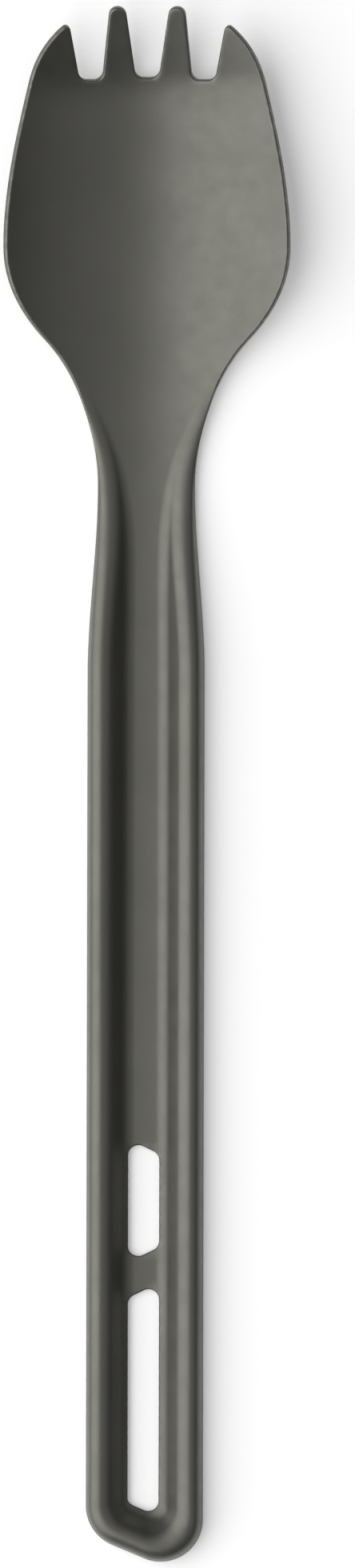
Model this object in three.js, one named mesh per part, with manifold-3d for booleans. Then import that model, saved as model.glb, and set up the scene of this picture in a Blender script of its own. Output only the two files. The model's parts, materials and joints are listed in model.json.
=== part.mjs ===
// A long-handled camping spork pressed from one aluminium sheet: a bowl with four tines, a narrow neck, and a
// handle stiffened by a channel between two ridges, with two slots to hang it by.
// Millimetres. +Y runs from the handle end to the tines, +Z is up, and the handle lies on Z = 0.
import * as THREE from "three";
import { mergeVertices } from "three/addons/utils/BufferGeometryUtils.js";
import Module from "manifold-3d";

const wasm = await Module();
wasm.setup();

// Overall sizes
const OVERALL_LENGTH = 220;
const SHEET = 1;

// Outline, from the tine tips to the handle. A run is the length along the object from the place before it,
// a width is the full width at that place, and a flare is the edge's angle there to the long axis in degrees.
const FRONT_WIDTH = 16.2;
const FRONT_FLARE = 59;
const SHOULDER_RUN = 10.8;
const SHOULDER_WIDTH = 33.6;
const SHOULDER_FLARE = 13.5;
const BOWL_RUN = 23.1;
const BOWL_WIDTH = 40.6;
const HIP_RUN = 13;
const HIP_WIDTH = 29.1;
const HIP_FLARE = -43.4;
const THROAT_RUN = 9.1;
const THROAT_WIDTH = 18.2;
const THROAT_FLARE = -20.3;
const NECK_RUN = 11.3;
const NECK_WIDTH = 13.7;
const HANDLE_RUN = 27.1;
const HANDLE_WIDTH = 16.6;

// Bowl and tines. The bowl is a trough with one curve across, and BOWL_DEPTH is its depth where it is widest.
// Its front sweeps up from a level bottom into straight, pitched tines.
const BOWL_DEPTH = 6.6;
const FRONT_SWEEP = 11;
const FRONT_SWEEP_POWER = 3;
const TINE_STRAIGHT = 9;
const TINE_PITCH = 30;
const TINE_TIP_WIDTH = 2.2;
const TINE_ROOT_WIDTH = 4.7;
const TINE_TIP_ROUND = 1.2;
const OUTER_TIP_ROUND = 0.6;
const GAP_MOUTH = 6.1;
const GAP_ROOT = 3.2;
const GAP_CORNER = 1.25;
const CENTRE_GAP_DEPTH = 9.6;
const OUTER_GAP_DEPTH = 9.95;

// Handle section. Bends are inside radii of the sheet, and the flange stops just over the level it lies on.
const CHANNEL_BEND = 1.9;
const WALL_ANGLE = 50;
const RIDGE_HEIGHT = 3;
const RIDGE_BEND = 0.8;
const FLANGE_ANGLE = 80;
const FLANGE_CLEARANCE = 0.05;

// From bowl to handle. The ridges begin to rise a little before the throat and are full where the handle
// starts. The strip along the bowl's rim widens and folds down into the flange.
const RIDGE_LEAD = 2;
const RIM_STRIP = 1.2;
const FOLD_LEAD = 6;
const FOLD_LENGTH = 28;

// Handle end and slots. SLOT_ASIDE is how far the slots' middle line lies to the right of the axis.
const END_SLANT = 22.8;
const END_CORNER = 6;
const CHANNEL_CORNER = 1;
const SLOT_WIDTH = 4.4;
const SLOT_ASIDE = -0.17;
const SLOT_SLANT = 25;
const SLOT_CORNER = 1.45;
const LOWER_SLOT_LENGTH = 31;
const SLOT_BRIDGE = 5.1;
const UPPER_SLOT_LENGTH = 15.3;

// Facets and small distances
const BOWL_STEP = 2.2;
const HANDLE_STEP = 24;
const BEND_FACETS = 3;
const RIDGE_OUTER_FACETS = 4;
const CORNER_FACETS = 10;
const CUT_MARGIN = 0.6;
const CLOSE_ENOUGH = 1e-6;

const { clamp, degToRad, lerp, smoothstep } = THREE.MathUtils;
const slopeOf = (degrees) => Math.tan(degToRad(degrees));

// A station is a distance from the tine tips along the object.
const alongY = (station) => OVERALL_LENGTH / 2 - station;

const shoulder = SHOULDER_RUN;
const widest = shoulder + BOWL_RUN;
const hip = widest + HIP_RUN;
const throat = hip + THROAT_RUN;
const neck = throat + NECK_RUN;
const handleStart = neck + HANDLE_RUN;
const halfHandle = HANDLE_WIDTH / 2;

const OUTLINE = [
  { station: 0, half: FRONT_WIDTH / 2, slope: slopeOf(FRONT_FLARE) },
  { station: shoulder, half: SHOULDER_WIDTH / 2, slope: slopeOf(SHOULDER_FLARE) },
  { station: widest, half: BOWL_WIDTH / 2, slope: 0 },
  { station: hip, half: HIP_WIDTH / 2, slope: slopeOf(HIP_FLARE) },
  { station: throat, half: THROAT_WIDTH / 2, slope: slopeOf(THROAT_FLARE) },
  { station: neck, half: NECK_WIDTH / 2, slope: 0 },
  { station: handleStart, half: halfHandle, slope: 0 },
];

// Half-width of the outline at a station: a cubic between two places that keeps both widths and both flares.
function halfWidth(station) {
  const [front] = OUTLINE;
  if (station <= front.station) {
    return front.half + front.slope * (station - front.station);
  }
  const next = OUTLINE.findIndex((place) => place.station > station);
  if (next < 0) {
    return halfHandle;
  }
  const from = OUTLINE[next - 1];
  const to = OUTLINE[next];
  const run = to.station - from.station;
  const t = (station - from.station) / run;
  const blend = t * t * (3 - 2 * t);
  const leaving = t * (1 - t) * (1 - t) * run * from.slope;
  const arriving = t * t * (t - 1) * run * to.slope;
  return lerp(from.half, to.half, blend) + leaving + arriving;
}

// Share of the front sweep that lies behind a station: 0 on the level bottom, 1 along the straight tines.
function sweepShare(station) {
  return clamp((TINE_STRAIGHT + FRONT_SWEEP - station) / FRONT_SWEEP, 0, 1);
}

// Slope of the bowl's centre line at a station, upwards to the tines: a power of the sweep share.
function spineSlope(station) {
  return slopeOf(TINE_PITCH) * sweepShare(station) ** (FRONT_SWEEP_POWER - 1);
}

// Height of the bowl's centre line over the level bottom, the sum of that slope.
function spineLift(station) {
  const sweepLift = (FRONT_SWEEP / FRONT_SWEEP_POWER) * sweepShare(station);
  return spineSlope(station) * (sweepLift + Math.max(TINE_STRAIGHT - station, 0));
}

// Height of the trough over its centre line at a distance across: a parabola that fades out along the neck.
function troughHeight(station, across) {
  const fade = 1 - smoothstep(station, throat, handleStart);
  const share = across / (BOWL_WIDTH / 2);
  return fade * BOWL_DEPTH * share * share;
}

// How far the ridges have risen at a station, and how far the rim has folded: 0 in the bowl, 1 on the handle.
const ridgeRise = (station) => smoothstep(station, throat - RIDGE_LEAD, handleStart);
const rimFold = (station) => smoothstep(station, throat - FOLD_LEAD, throat - FOLD_LEAD + FOLD_LENGTH);

// The flange on the sheet's upper side: the height of its edge over the floor, and its run from the crest.
const wall = degToRad(WALL_ANGLE);
const flange = degToRad(FLANGE_ANGLE);
const ridgeRadius = RIDGE_BEND + SHEET;
const edgeHeight = FLANGE_CLEARANCE + SHEET * Math.cos(flange) - SHEET;
const flangeDrop = RIDGE_HEIGHT - ridgeRadius * (1 - Math.cos(flange)) - edgeHeight;
const flangeRun = ridgeRadius * Math.sin(flange) + flangeDrop / Math.tan(flange);

// Lean of the channel's side under a ridge of some height, and the runs of its three stretches. A low ridge
// is two bends that lean less than the wall angle, and a high one has a straight wall between them.
function channelSide(ridge) {
  const bends = CHANNEL_BEND + ridgeRadius;
  const lean = Math.acos(Math.max(1 - ridge / bends, Math.cos(wall)));
  const wallRise = ridge - bends * (1 - Math.cos(lean));
  const wallRun = wallRise / Math.tan(wall);
  const ridgeRun = ridgeRadius * Math.sin(lean);
  const bendRun = CHANNEL_BEND * Math.sin(lean);
  return { lean, ridgeRun, wallRun, bendRun };
}

// Height over the channel floor at a distance in from a ridge's crest: ridge, wall, channel bend and floor.
function channelHeight(inward, ridge) {
  const { lean, ridgeRun, wallRun, bendRun } = channelSide(ridge);
  if (inward < ridgeRun) {
    return ridge - ridgeRadius + Math.sqrt(ridgeRadius ** 2 - inward ** 2);
  }
  const toFloor = Math.max(ridgeRun + wallRun + bendRun - inward, 0);
  if (toFloor > bendRun) {
    return CHANNEL_BEND * (1 - Math.cos(lean)) + (toFloor - bendRun) * Math.tan(lean);
  }
  return CHANNEL_BEND - Math.sqrt(CHANNEL_BEND ** 2 - toFloor ** 2);
}

// Half section of the handle from the axis outward: level floor, channel bend, wall, ridge and flange.
// Each point holds its distance across and its height over the floor, on the upper side of the sheet.
function handleSection() {
  const { lean, ridgeRun, wallRun, bendRun } = channelSide(RIDGE_HEIGHT);
  const crest = halfHandle - flangeRun;
  const floor = crest - ridgeRun - wallRun - bendRun;
  const inner = [0];
  for (let facet = 0; facet <= BEND_FACETS; facet += 1) {
    inner.push(floor + CHANNEL_BEND * Math.sin((lean * facet) / BEND_FACETS));
  }
  inner.push(floor + bendRun + wallRun / 2);
  for (let facet = BEND_FACETS; facet > 0; facet -= 1) {
    inner.push(crest - ridgeRadius * Math.sin((lean * facet) / BEND_FACETS));
  }
  const innerPoint = (across) => new THREE.Vector2(across, channelHeight(crest - across, RIDGE_HEIGHT));
  const points = inner.map(innerPoint);
  const crestColumn = points.length;
  for (let facet = 0; facet <= RIDGE_OUTER_FACETS; facet += 1) {
    const turn = (flange * facet) / RIDGE_OUTER_FACETS;
    const drop = ridgeRadius * (1 - Math.cos(turn));
    points.push(new THREE.Vector2(crest + ridgeRadius * Math.sin(turn), RIDGE_HEIGHT - drop));
  }
  points.push(new THREE.Vector2(halfHandle, edgeHeight));
  return { points, crestColumn, crest, floor };
}

const section = handleSection();
const lastColumn = section.points.length - 1;

// Where a column lies in the section at a station, for an upper side of the given half-width: its distance
// across and its height over the centre line. Columns spread evenly in the bowl and follow the bends on the
// handle. The flange's edge comes down as the ridges rise.
function sectionPoint(station, column, half) {
  const fold = rimFold(station);
  const rise = ridgeRise(station);
  const ridge = RIDGE_HEIGHT * rise;
  const stripRun = lerp(RIM_STRIP, flangeRun, fold);
  const crest = half - stripRun;
  const place = section.points[column];
  if (column <= section.crestColumn) {
    const evenly = column / section.crestColumn;
    const across = crest * lerp(evenly, place.x / section.crest, rise);
    return { across, height: troughHeight(station, across) + channelHeight(crest - across, ridge) };
  }
  const evenly = (column - section.crestColumn) / (lastColumn - section.crestColumn);
  const across = crest + stripRun * lerp(evenly, (place.x - section.crest) / flangeRun, fold);
  const unfolded = troughHeight(station, across) + ridge;
  const crestHeight = troughHeight(station, crest) + ridge;
  const dropShare = (RIDGE_HEIGHT - place.y) / (RIDGE_HEIGHT - edgeHeight);
  const folded = lerp(crestHeight, edgeHeight * rise, dropShare);
  return { across, height: lerp(unfolded, folded, fold) };
}

// Half-width of the sheet's upper side. The edge is square to the sheet, so where the rim leans outwards the
// lower side reaches the outline and the upper side stays inside it.
function upperHalfWidth(station) {
  const half = halfWidth(station);
  const inner = sectionPoint(station, lastColumn - 1, half);
  const outer = sectionPoint(station, lastColumn, half);
  const acrossSlope = Math.max((outer.height - inner.height) / (outer.across - inner.across), 0);
  const alongSlope = spineSlope(station);
  const lean = SHEET / Math.hypot(1, acrossSlope, alongSlope);
  return halfWidth(station - lean * alongSlope) - lean * acrossSlope;
}

// Upper side of the sheet at a station and column, on the right of the axis.
function sheetPoint(station, column) {
  const { across, height } = sectionPoint(station, column, upperHalfWidth(station));
  return new THREE.Vector3(across, alongY(station), SHEET + spineLift(station) + height);
}

// Round corner between two unit directions that leave it: centre, tangent points and angles of its arc.
function roundCorner(at, before, after, radius) {
  const halfAngle = before.angleTo(after) / 2;
  const reach = radius / Math.tan(halfAngle);
  const inward = before.clone().add(after).normalize();
  const centre = at.clone().addScaledVector(inward, radius / Math.sin(halfAngle));
  const start = at.clone().addScaledVector(before, reach);
  const end = at.clone().addScaledVector(after, reach);
  const from = start.clone().sub(centre).angle();
  const turn = end.clone().sub(centre).angle() - from;
  const sweep = Math.atan2(Math.sin(turn), Math.cos(turn));
  return { centre, radius, start, end, from, sweep };
}

// Handle end: a straight slanted edge between two round corners, whose lowest point is at OVERALL_LENGTH.
const slant = degToRad(END_SLANT);
const endCornerRise = END_CORNER / Math.cos(slant) - END_CORNER;
const endAxis = OVERALL_LENGTH - Math.tan(slant) * (halfHandle - END_CORNER) + endCornerRise;

// Corner radius at the handle end for a line at a distance across: it grows from the floor's edge outwards.
function endCornerRadius(across) {
  const pastFloor = (across - section.floor) / (halfHandle - section.floor);
  if (pastFloor > 0) {
    return lerp(CHANNEL_CORNER, END_CORNER, pastFloor);
  }
  return (CHANNEL_CORNER * across) / section.floor;
}

// The two corners of the handle end on the line that a column follows, which runs parallel to the outline.
function endCorners(column) {
  const across = section.points[column].x;
  const axisEnd = endAxis - (halfHandle - across) / Math.cos(slant);
  const radius = endCornerRadius(across);
  const towardsTines = new THREE.Vector2(0, 1);
  const towardsLeft = new THREE.Vector2(-Math.cos(slant), Math.sin(slant));
  const right = new THREE.Vector2(across, alongY(axisEnd + across * Math.tan(slant)));
  const left = new THREE.Vector2(-across, alongY(axisEnd - across * Math.tan(slant)));
  return [
    roundCorner(right, towardsTines, towardsLeft, radius),
    roundCorner(left, towardsLeft.clone().negate(), towardsTines, radius),
  ];
}

const columns = section.points.map((point, column) => column);

// Stations of the sections: close together where the shape changes, far apart along the straight handle.
function sectionStations() {
  const arcs = columns.flatMap((column) => endCorners(column));
  const tangents = arcs.flatMap(({ start, end }) => [start.y, end.y]);
  const straightEnd = OVERALL_LENGTH / 2 - Math.max(...tangents) - CUT_MARGIN;
  const stations = [-CUT_MARGIN];
  const places = OUTLINE.map((place) => place.station);
  places.push(straightEnd);
  places.slice(1).forEach((to, index) => {
    const from = places[index];
    const step = to === straightEnd ? HANDLE_STEP : BOWL_STEP;
    const count = Math.ceil((to - from) / step);
    for (let i = 0; i < count; i += 1) {
      stations.push(lerp(from, to, i / count));
    }
  });
  stations.push(straightEnd);
  return stations;
}

// One column of the sheet as a line: down the right side, round the handle end and back up the left side.
function columnLine(column, stations) {
  const right = stations.map((station) => sheetPoint(station, column));
  const left = right.map((point) => new THREE.Vector3(-point.x, point.y, point.z)).reverse();
  const height = right.at(-1).z;
  const end = endCorners(column).flatMap(({ centre, radius, from, sweep }) =>
    Array.from({ length: CORNER_FACETS + 1 }, (unused, facet) => {
      const angle = from + (sweep * facet) / CORNER_FACETS;
      const x = centre.x + radius * Math.cos(angle);
      const y = centre.y + radius * Math.sin(angle);
      return new THREE.Vector3(x, y, height);
    }),
  );
  return [...right, ...end, ...left];
}

// Geometry from vertices and triangles, with vertices at one place merged and empty triangles left out.
function welded(vertices, triangles) {
  const geometry = new THREE.BufferGeometry().setFromPoints(vertices);
  geometry.setIndex(triangles.flat());
  const merged = mergeVertices(geometry);
  const index = merged.index.array;
  const kept = [];
  for (let i = 0; i < index.length; i += 3) {
    const [a, b, c] = index.slice(i, i + 3);
    if (a !== b && b !== c && c !== a) {
      kept.push(a, b, c);
    }
  }
  return merged.setIndex(kept);
}

// Upper side of the whole sheet before the gaps and slots are cut.
function upperSide() {
  const stations = sectionStations();
  const lines = columns.map((column) => columnLine(column, stations));
  const rows = lines[0].length;
  const triangles = [];
  for (let column = 0; column < lastColumn; column += 1) {
    for (let row = 0; row < rows - 1; row += 1) {
      const here = column * rows + row;
      const outward = here + rows;
      triangles.push([here, here + 1, outward + 1], [here, outward + 1, outward]);
    }
  }
  return welded(lines.flat(), triangles);
}

// Adds the product of a direction with itself to a matrix.
function addProduct(matrix, direction) {
  const { x, y, z } = direction;
  const product = [x * x, y * x, z * x, x * y, y * y, z * y, x * z, y * z, z * z];
  product.forEach((value, place) => {
    matrix.elements[place] += value;
  });
}

// Closed sheet from its upper side. Each lower vertex lies one thickness behind every face that meets there,
// found by least squares, and a strip closes each open edge.
function thicken(surface, thickness) {
  const position = surface.getAttribute("position");
  const upper = Array.from({ length: position.count }, (unused, i) =>
    new THREE.Vector3().fromBufferAttribute(position, i),
  );
  const index = surface.index.array;
  const normalSums = upper.map(() => new THREE.Vector3());
  const productSums = upper.map(() => new THREE.Matrix3().multiplyScalar(CLOSE_ENOUGH));
  const triangles = [];
  const openEdges = new Map();
  for (let i = 0; i < index.length; i += 3) {
    const vertices = [index[i], index[i + 1], index[i + 2]];
    const [a, b, c] = vertices.map((vertex) => upper[vertex]);
    const normal = new THREE.Triangle(a, b, c).getNormal(new THREE.Vector3());
    vertices.forEach((vertex, turn) => {
      normalSums[vertex].add(normal);
      addProduct(productSums[vertex], normal);
      const next = vertices[(turn + 1) % 3];
      if (!openEdges.delete(`${next} ${vertex}`)) {
        openEdges.set(`${vertex} ${next}`, [vertex, next]);
      }
    });
    triangles.push(vertices);
    triangles.push(vertices.map((vertex) => vertex + upper.length).reverse());
  }
  for (const [from, to] of openEdges.values()) {
    triangles.push([to, from, from + upper.length], [to, from + upper.length, to + upper.length]);
  }
  const lower = upper.map((point, i) => {
    const offset = normalSums[i].clone().applyMatrix3(productSums[i].clone().invert());
    return point.clone().addScaledVector(offset, -thickness);
  });
  return welded([...upper, ...lower], triangles);
}

// Closed shape through corners that each have their own radius, limited by the sides that meet there.
function roundedShape(corners) {
  const shape = new THREE.Shape();
  corners.forEach(({ at, radius }, i) => {
    const before = corners.at(i - 1).at.clone().sub(at);
    const after = corners[(i + 1) % corners.length].at.clone().sub(at);
    const room = Math.min(before.length(), after.length()) / 2;
    const widestRadius = room * Math.tan(before.angleTo(after) / 2);
    const arc = roundCorner(at, before.normalize(), after.normalize(), Math.min(radius, widestRadius));
    if (i === 0) {
      shape.moveTo(arc.start.x, arc.start.y);
    } else {
      shape.lineTo(arc.start.x, arc.start.y);
    }
    if (radius > 0) {
      shape.absarc(arc.centre.x, arc.centre.y, arc.radius, arc.from, arc.from + arc.sweep, arc.sweep < 0);
    }
  });
  shape.closePath();
  return shape;
}

const cornerAt = (across, station, radius) => ({ at: new THREE.Vector2(across, alongY(station)), radius });
const mirrored = ({ at, radius }) => ({ at: new THREE.Vector2(-at.x, at.y), radius });

// Where the outer tine's inner side meets its outer edge, by halving, and the edge's slope there.
function outerTineApex(innerSide) {
  let near = 0;
  let far = OUTER_GAP_DEPTH;
  while (far - near > CLOSE_ENOUGH) {
    const middle = (near + far) / 2;
    if (halfWidth(middle) < innerSide(middle)) {
      near = middle;
    } else {
      far = middle;
    }
  }
  const slope = (halfWidth(far + CUT_MARGIN) - halfWidth(far)) / CUT_MARGIN;
  return { station: far, slope };
}

// Everything in front of the tines: three gaps, the round tips, and the space ahead of them.
function tineCutShape() {
  const tipInner = GAP_MOUTH / 2;
  const tipOuter = tipInner + TINE_TIP_WIDTH;
  const rootInner = GAP_ROOT / 2;
  const rootOuter = rootInner + TINE_ROOT_WIDTH;
  const outerMouth = tipOuter + GAP_MOUTH;
  const outerRoot = rootOuter + GAP_ROOT;
  const apex = outerTineApex((station) => lerp(outerMouth, outerRoot, station / OUTER_GAP_DEPTH));
  const apexAcross = halfWidth(apex.station);
  const farAcross = BOWL_WIDTH;
  const farStation = apex.station + (farAcross - apexAcross) / apex.slope;
  const rightSide = [
    cornerAt(rootInner, CENTRE_GAP_DEPTH, GAP_CORNER),
    cornerAt(tipInner, 0, TINE_TIP_ROUND),
    cornerAt(tipOuter, 0, TINE_TIP_ROUND),
    cornerAt(rootOuter, OUTER_GAP_DEPTH, GAP_CORNER),
    cornerAt(outerRoot, OUTER_GAP_DEPTH, GAP_CORNER),
    cornerAt(apexAcross, apex.station, OUTER_TIP_ROUND),
    cornerAt(farAcross, farStation, 0),
    cornerAt(farAcross, -BOWL_WIDTH, 0),
  ];
  const leftSide = rightSide.map(mirrored).reverse();
  return roundedShape([...rightSide, ...leftSide]);
}

// A slot with straight sides and slanted ends. A slope is how far an end shifts back per unit to the right.
function slotShape(fromStation, toStation, fromSlope, toSlope) {
  const half = SLOT_WIDTH / 2;
  const left = SLOT_ASIDE - half;
  const right = SLOT_ASIDE + half;
  return roundedShape([
    cornerAt(left, fromStation - half * fromSlope, SLOT_CORNER),
    cornerAt(right, fromStation + half * fromSlope, SLOT_CORNER),
    cornerAt(right, toStation + half * toSlope, SLOT_CORNER),
    cornerAt(left, toStation - half * toSlope, SLOT_CORNER),
  ]);
}

// The slots follow each other forward from the end of the channel floor, with a slanted bridge between them.
function slotShapes() {
  const lowerEnd = endAxis - (halfHandle - section.floor) / Math.cos(slant);
  const lowerStart = lowerEnd - LOWER_SLOT_LENGTH;
  const upperEnd = lowerStart - SLOT_BRIDGE;
  const upperStart = upperEnd - UPPER_SLOT_LENGTH;
  const slope = slopeOf(SLOT_SLANT);
  return [
    slotShape(lowerStart, lowerEnd, -slope, Math.tan(slant)),
    slotShape(upperStart, upperEnd, slope, -slope),
  ];
}

// Solid from a closed geometry
function solidOf(geometry) {
  const bare = geometry.clone();
  bare.deleteAttribute("normal");
  bare.deleteAttribute("uv");
  const merged = mergeVertices(bare);
  const vertProperties = merged.getAttribute("position").array;
  const triVerts = new Uint32Array(merged.index.array);
  return new wasm.Manifold(new wasm.Mesh({ numProp: 3, vertProperties, triVerts }));
}

// Solid of a cut that goes straight down through the whole sheet
function cutSolid(shape) {
  const depth = spineLift(0) + BOWL_DEPTH + RIDGE_HEIGHT + SHEET + 2 * CUT_MARGIN;
  const options = { depth, bevelEnabled: false, curveSegments: CORNER_FACETS };
  const geometry = new THREE.ExtrudeGeometry(shape, options);
  return solidOf(geometry.translate(0, 0, -CUT_MARGIN));
}

// The finished body: the pressed sheet with the tine gaps and the slots cut out.
function sporkBody() {
  let solid = solidOf(thicken(upperSide(), SHEET));
  for (const shape of [tineCutShape(), ...slotShapes()]) {
    solid = solid.subtract(cutSolid(shape));
  }
  const mesh = solid.getMesh();
  const geometry = new THREE.BufferGeometry();
  geometry.setAttribute("position", new THREE.BufferAttribute(mesh.vertProperties, 3));
  geometry.setIndex(new THREE.BufferAttribute(mesh.triVerts, 1));
  geometry.computeVertexNormals();
  return geometry;
}

const oliveGrey = { color: 0x5c5c50, roughness: 0.45, metalness: 0.85 };
const anodisedAluminium = new THREE.MeshStandardMaterial(oliveGrey);
const body = new THREE.Mesh(sporkBody(), anodisedAluminium);
body.name = "spork_body";

const spork = new THREE.Group();
spork.add(body);

export default spork;
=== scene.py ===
# %% [markdown]
# A long-handled camping spork, pressed from one sheet of aluminium and then hard-anodised to a dark olive
# grey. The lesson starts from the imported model, which fixes the frame: metres, +Y from the handle end to the
# tines, +Z up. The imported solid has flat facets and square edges. This script makes the same sheet again with
# smooth bends and rounded edges, gives it its anodised finish, and lights it softly from the left.

# %% Load the frame
import json
import math

import bpy
import numpy as np
from mathutils.geometry import delaunay_2d_cdt
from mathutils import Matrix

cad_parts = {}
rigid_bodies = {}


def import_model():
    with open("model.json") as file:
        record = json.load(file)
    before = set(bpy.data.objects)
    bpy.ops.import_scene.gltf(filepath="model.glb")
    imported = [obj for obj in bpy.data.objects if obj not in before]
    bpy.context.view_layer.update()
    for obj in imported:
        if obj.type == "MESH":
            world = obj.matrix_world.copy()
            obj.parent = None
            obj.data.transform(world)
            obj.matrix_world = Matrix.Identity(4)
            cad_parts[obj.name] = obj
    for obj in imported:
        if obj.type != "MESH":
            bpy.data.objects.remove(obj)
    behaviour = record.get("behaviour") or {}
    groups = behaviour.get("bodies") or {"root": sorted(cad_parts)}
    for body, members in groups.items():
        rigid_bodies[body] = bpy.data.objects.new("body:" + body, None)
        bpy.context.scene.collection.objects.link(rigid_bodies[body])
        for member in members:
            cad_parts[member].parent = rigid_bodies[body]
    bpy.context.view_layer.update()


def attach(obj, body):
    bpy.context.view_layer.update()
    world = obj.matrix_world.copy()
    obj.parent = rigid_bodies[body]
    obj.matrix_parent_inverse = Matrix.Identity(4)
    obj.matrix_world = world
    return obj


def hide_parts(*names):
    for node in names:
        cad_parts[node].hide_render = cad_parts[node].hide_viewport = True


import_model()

# %% [markdown]
# The photograph looks straight down from far away, with the tines at the top of a tall, narrow picture. A
# long lens from well above gives the same view with almost no perspective. An orthographic camera would have
# none at all, but no real camera is one. The object lies a little to the left of the picture's middle, so the
# camera stands a little to the right of the object's axis.

# %% Camera
MM = 0.001
PICTURE_HEIGHT = 221.73 * MM
CAMERA_ASIDE = 4.48 * MM
CAMERA_ALONG = 0.2 * MM
CAMERA_HEIGHT = 1.8
OBJECT_MIDDLE_HEIGHT = 4 * MM
CAMERA_ROLL = math.radians(0.124)
SENSOR_SIDE = 36
FARTHEST_SEEN = 100

camera_data = bpy.data.cameras.new("camera_above")
camera_data.type = "PERSP"
camera_data.sensor_width = SENSOR_SIDE
camera_data.lens = SENSOR_SIDE * (CAMERA_HEIGHT - OBJECT_MIDDLE_HEIGHT) / PICTURE_HEIGHT
camera_data.clip_end = FARTHEST_SEEN
camera = bpy.data.objects.new("camera_above", camera_data)
camera.location = (CAMERA_ASIDE, CAMERA_ALONG, CAMERA_HEIGHT)
camera.rotation_euler = (0, 0, CAMERA_ROLL)
bpy.context.scene.collection.objects.link(camera)
bpy.context.scene.camera = camera
bpy.context.scene.view_settings.view_transform = "Standard"
print("camera:", round(camera_data.lens, 1), "mm lens at", CAMERA_HEIGHT, "m")

# %% [markdown]
# The sheet's outline is measured at seven places from the tine tips to the handle. Each place has a station,
# which is its distance from the tips, a full width, and a flare, which is the edge's angle to the long axis.
# A cubic between two neighbouring places keeps both widths and both flares, so the edge is one smooth line. A
# spline object could carry the same line, but a function can be asked for the width at any station, and every
# later step needs that. All sizes are in millimetres until the mesh is made.

# %% Outline
LENGTH = 220.0
SHEET = 1.0
EDGE_ROUND = 0.25

OUTLINE_STATION = np.array([0.0, 10.8, 33.9, 46.9, 56.0, 67.3, 94.4])
OUTLINE_HALF = np.array([16.2, 33.6, 40.6, 29.1, 18.2, 13.7, 16.6]) / 2
OUTLINE_FLARE = np.tan(np.radians([59.0, 13.5, 0.0, -43.4, -20.3, 0.0, 0.0]))
THROAT = OUTLINE_STATION[4]
HANDLE_START = OUTLINE_STATION[6]
HALF_BOWL = OUTLINE_HALF[2]
HALF_HANDLE = OUTLINE_HALF[-1]


def lerp(start, end, share):
    """The value that lies a share of the way from start to end."""
    return start + (end - start) * share


def smoothstep(value, low, high):
    """A share that rises from 0 at low to 1 at high and leaves both levelly: 3t squared minus 2t cubed."""
    t = np.clip((value - low) / (high - low), 0, 1)
    return t * t * (3 - 2 * t)


def half_width(station):
    """Half-width of the outline: a cubic between two places from their widths and flares, and ahead of the
    first place a straight line."""
    station = np.asarray(station, float)
    place = np.searchsorted(OUTLINE_STATION, station, side="right") - 1
    place = np.clip(place, 0, OUTLINE_STATION.size - 2)
    run = OUTLINE_STATION[place + 1] - OUTLINE_STATION[place]
    t = np.clip((station - OUTLINE_STATION[place]) / run, 0, 1)
    blend = smoothstep(t, 0, 1)
    leaving = t * (1 - t) ** 2 * run * OUTLINE_FLARE[place]
    arriving = t * t * (t - 1) * run * OUTLINE_FLARE[place + 1]
    ahead_of_tips = np.minimum(station, 0) * OUTLINE_FLARE[0]
    return lerp(OUTLINE_HALF[place], OUTLINE_HALF[place + 1], blend) + leaving + arriving + ahead_of_tips


print("outline: half-widths", np.round(half_width(OUTLINE_STATION), 2))

# %% [markdown]
# The bowl is a shallow trough with one curve across, a parabola, as a simple press tool makes it. Its rim is
# higher where the trough is wider, so it comes down by itself where the sheet narrows to the neck. Part of a
# stretched ball could be a bowl too, but its rim wouldn't follow the outline. The centre line is level, and
# only the front sweeps up: its slope grows with the square of the way into straight, pitched tines. The
# handle keeps half of the trough's curve, which makes its floor very slightly hollow.

# %% Bowl
BOWL_DEPTH = 6.6
FRONT_SWEEP = 11.0
FRONT_SWEEP_POWER = 3
TINE_STRAIGHT = 9.0
TINE_PITCH = math.radians(30)
HANDLE_TROUGH = 0.5


def sweep_share(station):
    """Share of the front sweep behind a station: 0 on the level bottom, 1 along the straight tines."""
    return np.clip((TINE_STRAIGHT + FRONT_SWEEP - station) / FRONT_SWEEP, 0, 1)


def spine_slope(station):
    """Slope of the centre line: the tines' slope times a power of the sweep share."""
    return math.tan(TINE_PITCH) * sweep_share(station) ** (FRONT_SWEEP_POWER - 1)


def spine_lift(station):
    """Height of the centre line: the slope summed over the sweep, then straight on along the tines."""
    sweep_lift = FRONT_SWEEP / FRONT_SWEEP_POWER * sweep_share(station)
    return spine_slope(station) * (sweep_lift + np.maximum(TINE_STRAIGHT - station, 0))


def trough_height(station, across):
    """Height of the trough over its centre line: the bowl's depth times the square of the distance across
    over the bowl's half-width. Along the neck it fades to the handle's share."""
    fade = lerp(1, HANDLE_TROUGH, smoothstep(station, THROAT, HANDLE_START))
    return fade * BOWL_DEPTH * (across / HALF_BOWL) ** 2


print("bowl: tips", np.round(spine_lift(0.0), 2), "over the bottom, rim", BOWL_DEPTH)

# %% [markdown]
# The handle is stiffened by its section: a floor, a bend, a slanted wall, a round ridge, and a steep flange
# that comes back down to the table. A profile along a curve could make the straight part, but the ridges also
# have to rise gradually along the neck. A low ridge is only two bends that meet, and a high one has a
# straight wall between them, so the height inside the crest is one formula for ridges of any height. The
# columns 0 to 14 number the places along the section from the axis to the edge.

# %% Handle section
CHANNEL_BEND = 2.6
WALL = math.radians(47)
RIDGE_HEIGHT = 3.0
RIDGE_INNER = 2.3
RIDGE_OUTER = 1.8
FLANGE = math.radians(80)
FLANGE_CLEARANCE = 0.05
FLOOR_END, BEND_END, WALL_END, CREST, RIDGE_END, LAST_COLUMN = 1, 4, 6, 9, 13, 14

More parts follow.
